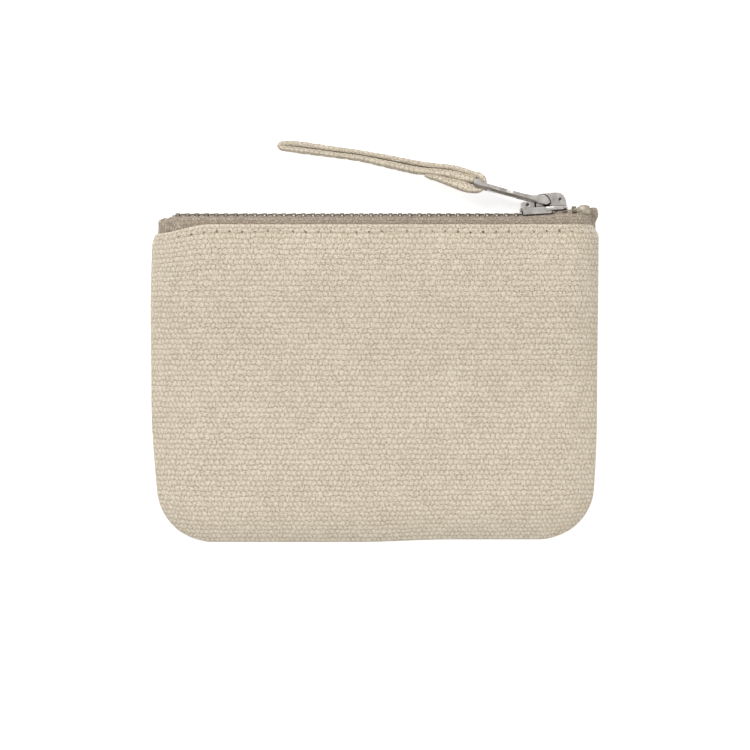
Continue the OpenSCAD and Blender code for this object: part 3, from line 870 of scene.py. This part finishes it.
def add_end_tab(solid):
    """Both tapes' right ends, turned in on themselves and sewn down into one soft tab."""
    dome = np.linspace(0, math.pi / 2, 9)[1:]
    height = np.concatenate([np.linspace(0.0385, TAB_TOP_Y, 22), TAB_TOP_Y + 0.0009 * np.sin(dome)])
    swell = np.concatenate([np.ones(22), np.cos(dome) * 0.92 + 0.08])
    angle = np.linspace(0, 2 * math.pi, 28, endpoint=False)
    sections = []
    for y, size in zip(height, swell):
        waist = 1 + 0.12 * math.sin(y * 1900)
        half_x, half_z = 0.00105 * size * waist, 0.0015 * size
        flat = [np.sign(f(angle)) * np.abs(f(angle)) ** 0.7 for f in (np.cos, np.sin)]
        lean = 0.0006 * float(smooth((y - 0.0405) / 0.004))
        sections.append(np.stack([TAB_X + lean + (half_x + 0.4 * lean) * flat[0], y + 0 * angle,
                                  CHAIN_Z + 0.0001 + half_z * flat[1]], axis=1))
    solid.loft(np.array(sections), grid_uv(height, np.linspace(0, 0.0075, 29)))


bow_open(halves(zip_tape(FRONT, "front_tape")), "zip_tape", "front_zip_tape", "front_tape_bead")
ride(zip_tape(BACK, "back_tape"), "bag", "zip_tape", "back_zip_tape", "back_tape_bead")


# ---- metal pieces made from the CAD nodes' own shapes ----
def evaluated(obj, material):
    """Applies an object's modifiers and returns it with the resulting mesh."""
    depsgraph = bpy.context.evaluated_depsgraph_get()
    mesh = bpy.data.meshes.new_from_object(obj.evaluated_get(depsgraph))
    obj.modifiers.clear()
    obj.data = mesh
    mesh.materials.clear()
    mesh.materials.append(material)
    mesh.shade_smooth()
    return obj


def node_mesh(node, keep=lambda x: True):
    """A clean copy of a CAD node's mesh as a bmesh, with the triangles of each flat face joined."""
    bm = bmesh.new()
    bm.from_mesh(frame["nodes"][node].data)
    bmesh.ops.remove_doubles(bm, verts=bm.verts, dist=1e-6)
    gone = [f for f in bm.faces if not keep(f.calc_center_median().x)]
    bmesh.ops.delete(bm, geom=gone, context="FACES")
    bmesh.ops.dissolve_limit(bm, angle_limit=math.radians(1), verts=bm.verts, edges=bm.edges)
    return bm


def linked(name, bm):
    mesh = bpy.data.meshes.new(name)
    bm.to_mesh(mesh)
    bm.free()
    return link_object(name, mesh)


def stamped(node, name, width, material, keep=lambda x: True):
    """A stamped part: the node's shape with its edges rounded over."""
    obj = linked(name, node_mesh(node, keep))
    bevel = obj.modifiers.new("round", "BEVEL")
    bevel.width = width
    bevel.segments = 3
    bevel.angle_limit = math.radians(32)
    return evaluated(obj, material)


def cast(name, bm, voxel, material, softening=9):
    """A die-cast part: remeshed finely and smoothed, so that its edges are soft."""
    obj = linked(name, bm)
    remesh = obj.modifiers.new("skin", "REMESH")
    remesh.mode = "VOXEL"
    remesh.voxel_size = voxel
    soften = obj.modifiers.new("soften", "SMOOTH")
    soften.factor = 0.5
    soften.iterations = softening
    return evaluated(obj, material)


def shift(obj, move):
    """Moves an object's vertices by a rule on their positions."""
    count = len(obj.data.vertices)
    points = np.zeros(count * 3, np.float32)
    obj.data.vertices.foreach_get("co", points)
    points = move(points.reshape(-1, 3).astype(float))
    obj.data.vertices.foreach_set("co", points.astype(np.float32).ravel())
    obj.data.update()


FIRST_TOOTH_X = {"front_teeth": 0.0534, "back_teeth": 0.0534 - TOOTH_PITCH / 2}


def zip_teeth(node, name, keep=lambda x: True):
    """Stamped teeth, with a painted highlight where their legs end."""
    teeth = stamped(node, name, 0.00016, PAINTED_TOOTH_METAL, keep)

    def settled(points):
        # The last teeth before the stops sink into the tape.
        line = chain_line(points[:, 0]) + 0.0003
        points[:, 1] = line + (points[:, 1] - line) * (1 - 0.3 * smooth((points[:, 0] - 0.048) / 0.002))
        return points

    shift(teeth, settled)
    uv = teeth.data.uv_layers.new(name="cloth")
    corners = [teeth.data.vertices[loop.vertex_index].co for loop in teeth.data.loops]
    uv.data.foreach_set("uv", [c for p in corners for c in
                               (p.x - FIRST_TOOTH_X[node], p.y - float(chain_line(p.x)))])
    painted_glint = teeth.data.attributes.new("painted_glint", "FLOAT", "POINT")
    # How strongly each vertex takes the painted highlight: only the leg ends far from the chain, weaker
    # at the zip's left end and from x = 0.039, none past x = 0.0475.
    wear_and_glint = [float(smooth((abs(v.co.z - CHAIN_Z) - 0.0024) / 0.0004)
                  * mix(0.3, 1.0, smooth((v.co.x + 0.038) / 0.008) * smooth((0.039 - v.co.x) / 0.002))
                  * smooth((0.0475 - v.co.x) / 0.001))
            for v in teeth.data.vertices]
    painted_glint.data.foreach_set("value", wear_and_glint)
    return teeth


def top_stop(node, name):
    """A clamped stop, hammered into a soft oval."""
    stop = cast(name, node_mesh(node), 0.00008, STOP_METAL, 6)
    low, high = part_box(node)
    middle, half = np.array((low + high) / 2), np.array((high - low) / 2)

    def rounded(points):
        away = (points - middle) / half
        roundness = np.abs(away).max(axis=1, keepdims=True) / np.linalg.norm(away, axis=1, keepdims=True)
        rounded_off = (points - middle) * mix(1, roundness, 0.85) * np.array([1.55, 1.08, 1.15])
        return middle + np.array([0, 0.0004, 0]) + rounded_off

    shift(stop, rounded)
    return stop


bow_open(left_and_right(zip_teeth, "front_teeth", "front_teeth", 0.0001), "zip_metal",
         "front_teeth")
ride(zip_teeth("back_teeth", "back_zip_teeth"), "bag", "zip_metal", "back_teeth")
bow_open([top_stop("front_top_stop", "front_stop")], "zip_metal", "front_top_stop")
ride(top_stop("back_top_stop", "back_stop"), "bag", "zip_metal", "back_top_stop")


# ---- slider ----
SLIDER_X = 0.0455
SLIDER_TILT = math.radians(3)
SLIDER_AT = np.array([SLIDER_X, chain_line(SLIDER_X), CHAIN_Z])
SLIDER_TURN = np.array([[math.cos(SLIDER_TILT), -math.sin(SLIDER_TILT), 0],
                        [math.sin(SLIDER_TILT), math.cos(SLIDER_TILT), 0], [0, 0, 1]])
CHEEK_HOLE = (0.0044, 0.0043)
CHEEK_HOLE_R = 0.00042
CHEEK_INNER_Z = 0.0014


def dimple_cheeks(points):
    """A small round hollow in each cheek of the cap."""
    local = (points - SLIDER_AT) @ SLIDER_TURN
    away = np.hypot(local[:, 0] - CHEEK_HOLE[0], local[:, 1] - CHEEK_HOLE[1])
    dent = 0.0004 * (1 - smooth((away - 0.6 * CHEEK_HOLE_R) / (0.4 * CHEEK_HOLE_R)))
    outside = np.abs(local[:, 2]) > CHEEK_INNER_Z
    points[:, 2] -= np.sign(local[:, 2]) * dent * outside
    return points


def add_prism(bm, bottom, top):
    """A closed prism between two outlines with as many corners."""
    low, high = [bm.verts.new(p) for p in bottom], [bm.verts.new(p) for p in top]
    bm.faces.new(low[::-1])
    bm.faces.new(high)
    for k in range(len(low)):
        n = (k + 1) % len(low)
        bm.faces.new((low[k], low[n], high[n], high[k]))


def disc(r, x=0.0, y=0.0):
    angles = np.linspace(0, 2 * math.pi, 32, endpoint=False)
    return [(x + r * math.cos(a), y + r * math.sin(a)) for a in angles]


# Webs inside the casting: behind the lug's hole, behind the slit and under the puller's pin.
PIN_SADDLE = [(0.0007 + 0.00068 * math.cos(a), 0.0035 + 0.00068 * math.sin(a))
              for a in np.linspace(0, -math.pi, 13)]
SLIDER_WEBS = [(disc(0.0005, -0.0044, 0.00325), 0.0014),
               ([(-0.0026, 0.0023), (-0.0019, 0.0023), (-0.0019, 0.004), (-0.0026, 0.004)], 0.0013),
               (PIN_SADDLE + [(-0.0004, 0.0035), (-0.0004, 0.0021), (0.0019, 0.0021),
                              (0.0019, 0.0035)], 0.0012)]


def slider_mesh():
    bm = node_mesh("slider_body")
    for outline, half in SLIDER_WEBS:
        add_prism(bm, *[[SLIDER_AT + SLIDER_TURN @ (x, y, z) for x, y in outline]
                        for z in (-half, half)])
    bmesh.ops.recalc_face_normals(bm, faces=bm.faces)
    return bm


slider_casting = cast("slider_casting", slider_mesh(), 0.00009, SLIDER_METAL)
ride(slider_casting, "slider", "slider_metal", "slider_body")
cap_casting = cast("cap_casting", node_mesh("slider_cap"), 0.00008, SLIDER_METAL)
shift(cap_casting, dimple_cheeks)
ride(cap_casting, "slider", "slider_metal", "slider_cap")
ride(stamped("lock_spring", "spring_strip", 0.00004, SPRING_METAL), "slider", "spring_steel",
     "lock_spring")


# ---- puller ----
JOINTS = {joint["name"]: joint for joint in frame["record"]["behaviour"]["joints"]}
PIVOT = np.array(JOINTS["puller_swing"]["pos_m"])
STRAP_BAR = np.array(JOINTS["strap_swing"]["pos_m"])
PULLER_L = float(np.linalg.norm(STRAP_BAR - PIVOT))
PULLER_AXIS = (STRAP_BAR - PIVOT) / PULLER_L
PULLER_UP = np.array([-PULLER_AXIS[1], PULLER_AXIS[0], 0]) * np.sign(PULLER_AXIS[0])
PULLER_HALF_T = 0.0008
ARM_IN, ARM_OUT = 0.00215, 0.00305
RAIL_IN, RAIL_OUT = 0.0032, 0.0042
RAIL_FROM = 0.0153
RAIL_END_R = 0.0012
BAR_HALF_W = 0.0028
EYE_FROM = 0.0163
PIN_R = 0.00065
STRAP_BAR_R = 0.0006
# The side of an arm, as distances along the puller and above it: a rounded cam round the pivot.
ARM_SIDE = [(0.0092, -0.0008), (0.0045, -0.0007), (0.0015, -0.0006), (0, -0.00055),
            (-0.0005, -0.00025), (-0.00095, 0.0003), (-0.0007, 0.00077), (-0.0003, 0.00117),
            (0.0003, 0.00165), (0.001, 0.0019), (0.0018, 0.0018), (0.0028, 0.00135), (0.0042, 0.00095),
            (0.0065, 0.0008), (0.0092, 0.0008)]
# Half of the flat bar's plan, as distances along the puller and out from its middle.
BAR_EDGE = [(0.008, ARM_OUT), (0.0095, ARM_OUT), (0.0112, BAR_HALF_W), (0.0132, 0.003),
            (0.0156, RAIL_OUT), (EYE_FROM, RAIL_OUT)]
BAR_PLAN = [(a, -z) for a, z in BAR_EDGE] + BAR_EDGE[::-1]


def puller_place(along, above, z):
    return Vector(PIVOT + PULLER_AXIS * along + PULLER_UP * above + np.array([0, 0, z]))


def groove_round_arms(points):
    """A shallow groove in each cheek of the cap, just outside the arm's rounded end."""
    outline = np.array([puller_place(a, u, 0)[:2] for a, u in ARM_SIDE[3:13]])
    steps = np.linspace(0, 1, 12, endpoint=False)[:, None]
    outline = np.concatenate([mix(a, b, steps) for a, b in zip(outline[:-1], outline[1:])])
    near = np.min([np.hypot(points[:, 0] - x, points[:, 1] - y) for x, y in outline], axis=0)
    z = points[:, 2] - CHAIN_Z
    groove = 0.00032 * (1 - smooth((near - 0.00012) / 0.0001)) * (np.abs(z) > CHEEK_INNER_Z)
    points[:, 2] -= np.sign(z) * groove
    return points


shift(cap_casting, groove_round_arms)


def puller_mesh():
    bm = bmesh.new()

    def side_prism(outline, low, high):
        add_prism(bm, [puller_place(a, u, low) for a, u in outline],
                  [puller_place(a, u, high) for a, u in outline])

    def flat_prism(outline):
        add_prism(bm, [puller_place(a, -PULLER_HALF_T, z) for a, z in outline],
                  [puller_place(a, PULLER_HALF_T, z) for a, z in outline])

    for low, high in ((ARM_IN, ARM_OUT), (-ARM_OUT, -ARM_IN)):
        side_prism(ARM_SIDE, low, high)
    side_prism(disc(PIN_R), -ARM_IN - 0.0002, ARM_IN + 0.0002)
    flat_prism(BAR_PLAN)
    for low, high in ((RAIL_IN, RAIL_OUT), (-RAIL_OUT, -RAIL_IN)):
        flat_prism([(RAIL_FROM, low), (PULLER_L, low), (PULLER_L, high), (RAIL_FROM, high)])
        side_prism(disc(RAIL_END_R, PULLER_L, 0.0003), low, high)
    side_prism(disc(STRAP_BAR_R, PULLER_L), -RAIL_IN - 0.0002, RAIL_IN + 0.0002)
    bmesh.ops.recalc_face_normals(bm, faces=bm.faces)
    return bm


def chamfer_puller(points):
    """The lower corners of the flat bar are cut back at a slant."""
    above = (points - PIVOT) @ PULLER_UP
    along = (points - PIVOT) @ PULLER_AXIS
    z = points[:, 2] - CHAIN_Z
    cut = 0.9 * np.maximum(0, -0.0001 - above) * smooth((along - 0.001) / 0.003)
    outer = smooth((np.abs(z) - 0.0022) / 0.0004)
    points[:, 2] -= np.sign(z) * cut * outer
    return points


puller_casting = cast("puller_casting", puller_mesh(), 0.00009, SLIDER_METAL, 8)
shift(puller_casting, chamfer_puller)
ride(puller_casting, "puller", "slider_metal", "puller")


# ---- pull strap: one folded strip of canvas, wrapped round the puller's bar ----
STRAP_HALF_W = 0.003
# How closely the strip's small bumps follow each other, and their height.
STRAP_BUMPS = ((900, 0.00014), (2600, 0.000112))
# Start of the weave round the strip, so that it doesn't repeat the panels'.
STRAP_UV_SHIFT = 0.2
# Middle line and thickness, from the inner end, round the far end, over the top,
# through the eye and back underneath.
STRAP_ROUTE = [
    (0.0269, 0.0534, 0.0021), (0.022, 0.0546, 0.0022), (0.018, 0.0554, 0.0019),
    (0.015, 0.05575, 0.0017), (0.011, 0.0561, 0.0018), (0.004, 0.0576, 0.0017),
    (-0.004, 0.0593, 0.0014), (-0.012, 0.0604, 0.0013), (-0.020, 0.06145, 0.0014),
    (-0.024, 0.0619, 0.0013), (-0.0254, 0.0621, 0.0012), (-0.0259, 0.0626, 0.0012),
    (-0.0254, 0.0631, 0.0012), (-0.024, 0.06325, 0.0013), (-0.020, 0.063, 0.0013),
    (-0.012, 0.06185, 0.0012), (-0.004, 0.06075, 0.0011), (0.004, 0.0593, 0.0012),
    (0.012, 0.05775, 0.0012), (0.016, 0.05725, 0.0012), (0.020, 0.05685, 0.0012),
    (0.024, 0.0559, 0.0013), (0.0264, 0.05505, 0.0013), (0.0278, 0.0546, 0.0017),
    (0.02877, 0.05387, 0.0017), (0.02915, 0.0528, 0.0016), (0.02884, 0.05165, 0.0015),
    (0.028, 0.05085, 0.0014), (0.0265, 0.0509, 0.0018), (0.024, 0.0517, 0.0027),
    (0.020, 0.0529, 0.002), (0.0166, 0.05395, 0.0015), (0.0146, 0.0544, 0.0011),
    (0.0133, 0.0548, 0.0005)]


def eased(points, spacing):
    """A smooth curve through the points, with places about spacing apart."""
    points = np.asarray(points, float)
    padded = np.concatenate([2 * points[:1] - points[1:2], points, 2 * points[-1:] - points[-2:-1]])
    made = []
    for i in range(len(points) - 1):
        a, b, c, d = padded[i:i + 4]
        count = max(2, int(np.linalg.norm((c - b)[:2]) / spacing))
        t = np.arange(count)[:, None] / count
        made.append(0.5 * (2 * b + (c - a) * t + (2 * a - 5 * b + 4 * c - d) * t ** 2
                           + (3 * b - a - 3 * c + d) * t ** 3))
    return np.concatenate(made + [points[-1:]])


def strip_outline(half_t):
    """The strip's section: a flat band whose long edges are rounded folds."""
    r = 0.8 * half_t
    arc = np.linspace(0, math.pi / 2, 5)
    flat = np.linspace(-STRAP_HALF_W + r, STRAP_HALF_W - r, 10)[1:-1]
    outline = []
    for quarter, (side_x, side_z) in enumerate(((1, 1), (-1, 1), (-1, -1), (1, -1))):
        turned = arc + quarter * math.pi / 2
        outline += zip(side_x * (half_t - r) + r * np.cos(turned),
                       side_z * (STRAP_HALF_W - r) + r * np.sin(turned))
        if quarter % 2:
            outline += [(side_x * half_t, z) for z in -side_z * flat]
    return np.array(outline)


def strap_frames():
    route = eased(STRAP_ROUTE, 0.0005)
    along = np.gradient(route[:, :2], axis=0)
    along /= np.linalg.norm(along, axis=1)[:, None]
    across = np.stack([-along[:, 1], along[:, 0]], axis=1)
    return route, across


def strap_strip():
    route, across = strap_frames()
    sections = []
    for (x, y, thick), (nx, ny) in zip(route, across):
        outline = strip_outline(thick / 2)
        sections.append(np.stack([x + nx * outline[:, 0], y + ny * outline[:, 0],
                                  CHAIN_Z + outline[:, 1]], axis=1))
    sections = np.array(sections)
    rough = sum(amount * np.array([noise.noise(Vector(p) * rate) for p in sections.reshape(-1, 3)])
                for rate, amount in STRAP_BUMPS)
    outward = sections - sections.mean(axis=1, keepdims=True)
    outward /= np.linalg.norm(outward, axis=2, keepdims=True)
    sections += outward * rough.reshape(sections.shape[:2] + (1,))
    turn = run_along(np.append(sections[40], sections[40, :1], axis=0)) + STRAP_UV_SHIFT
    solid = Solid()
    solid.loft(sections, grid_uv(run_along(route[:, :2]), turn))
    return solid.build("folded_strap", CANVAS)


def strap_stitches():
    """Two rows of stitches, over the upper layer and under the lower one."""
    route, across = strap_frames()
    run = run_along(route[:, :2])
    solid = Solid()

    def row(first_x, last_x, on_top, z):
        x = route[:, 0]
        inside = (x > first_x) & (x < last_x)
        places, far_end, eye = np.arange(len(x)), np.argmin(x), np.argmax(x)
        inside &= (places > far_end) & (places < eye) if on_top else places < far_end
        first, last = run[inside].min(), run[inside].max()
        for k in range(int((last - first) / STITCH_PITCH)):
            t, lift = stitch_path(0, 0.0004, -0.00005)
            at = first + (k + t) * STITCH_PITCH
            x, y, thick, nx, ny = [np.interp(at, run, column) for column in (*route.T, *across.T)]
            out = thick / 2 + lift
            solid.tube(np.stack([x + nx * out, y + ny * out, z + 0 * at], axis=1), THREAD_R)

    for z in (CHAIN_Z - 0.0016, CHAIN_Z + 0.0016):
        row(-0.024, 0.0245, True, z)
        row(-0.024, 0.0125, False, z)
    return solid.build("strap_stitches", THREAD)


ride(strap_strip(), "strap", "canvas", "pull_strap")
ride(strap_stitches(), "strap", "thread", "strap_stitching")


# ---- bartack: loops of thread round both tapes at the zip's left end ----
def end_bartack():
    solid = Solid()
    for x, lean in ((-0.0581, 0.0004), (-0.0575, -0.0003), (-0.0569, 0.0005), (-0.0563, -0.0004),
                    (-0.0557, 0.0003), (-0.0550, 0.0002)):
        x = np.array(x)
        edge = bent_point(x, FRONT, edge_run(x), 0)
        angle = np.linspace(0, 2 * math.pi, 33)
        reach = edge[2] - CHAIN_Z + TAPE_T / 2 + 0.0003
        high, low = edge[1] + 0.00018, min(edge[1] - 0.001, 0.0418)
        path = np.stack([edge[0] + lean * np.sin(angle),
                         (high + low) / 2 + (high - low) / 2 * np.cos(angle),
                         CHAIN_Z + reach * np.sin(angle)], axis=1)
        solid.tube(path, THREAD_R)
    return solid.build("end_bartack", THREAD)


ride(end_bartack(), "bag", "thread", "zip_end_bartack")


# ---- floor and light ----
def make_floor():
    mesh = bpy.data.meshes.new("floor")
    reach, z = 3.0, -0.0001
    corners = [(-reach, -reach, z), (reach, -reach, z), (reach, reach, z), (-reach, reach, z)]
    mesh.from_pydata(corners, [], [(0, 1, 2, 3)])
    mesh.materials.append(floor_material())
    link_object("floor", mesh)


def make_light(name, place, size, power):
    """A round soft light that points at the origin."""
    data = bpy.data.lights.new(name, "AREA")
    data.shape = "DISK"
    data.size = size
    data.energy = power
    light = link_object(name, data)
    light.location = place
    light.rotation_euler = (-Vector(place)).to_track_quat("-Z", "Y").to_euler()


def make_world(overhead, horizon):
    """Soft light from all round, brightest overhead."""
    world = bpy.data.worlds.new("studio")
    world.use_nodes = True
    tree = world.node_tree
    direction = tree.nodes.new("ShaderNodeTexCoord").outputs["Generated"]
    split = tree.nodes.new("ShaderNodeSeparateXYZ")
    tree.links.new(direction, split.inputs[0])
    level = tree.nodes.new("ShaderNodeMapRange")
    level.inputs["To Min"].default_value = horizon
    level.inputs["To Max"].default_value = overhead
    tree.links.new(split.outputs[2], level.inputs["Value"])
    tree.nodes["Background"].inputs["Color"].default_value = (1.0, 0.995, 0.985, 1)
    tree.links.new(level.outputs[0], tree.nodes["Background"].inputs["Strength"])
    bpy.context.scene.world = world


make_floor()
make_world(0.68, 0.14)
make_light("key", (-0.35, 0.5, 0.8), size=0.45, power=6.0)
make_light("fill", (0.6, -0.4, 0.7), size=0.8, power=2.1)
bpy.context.scene.view_settings.view_transform = "Standard"
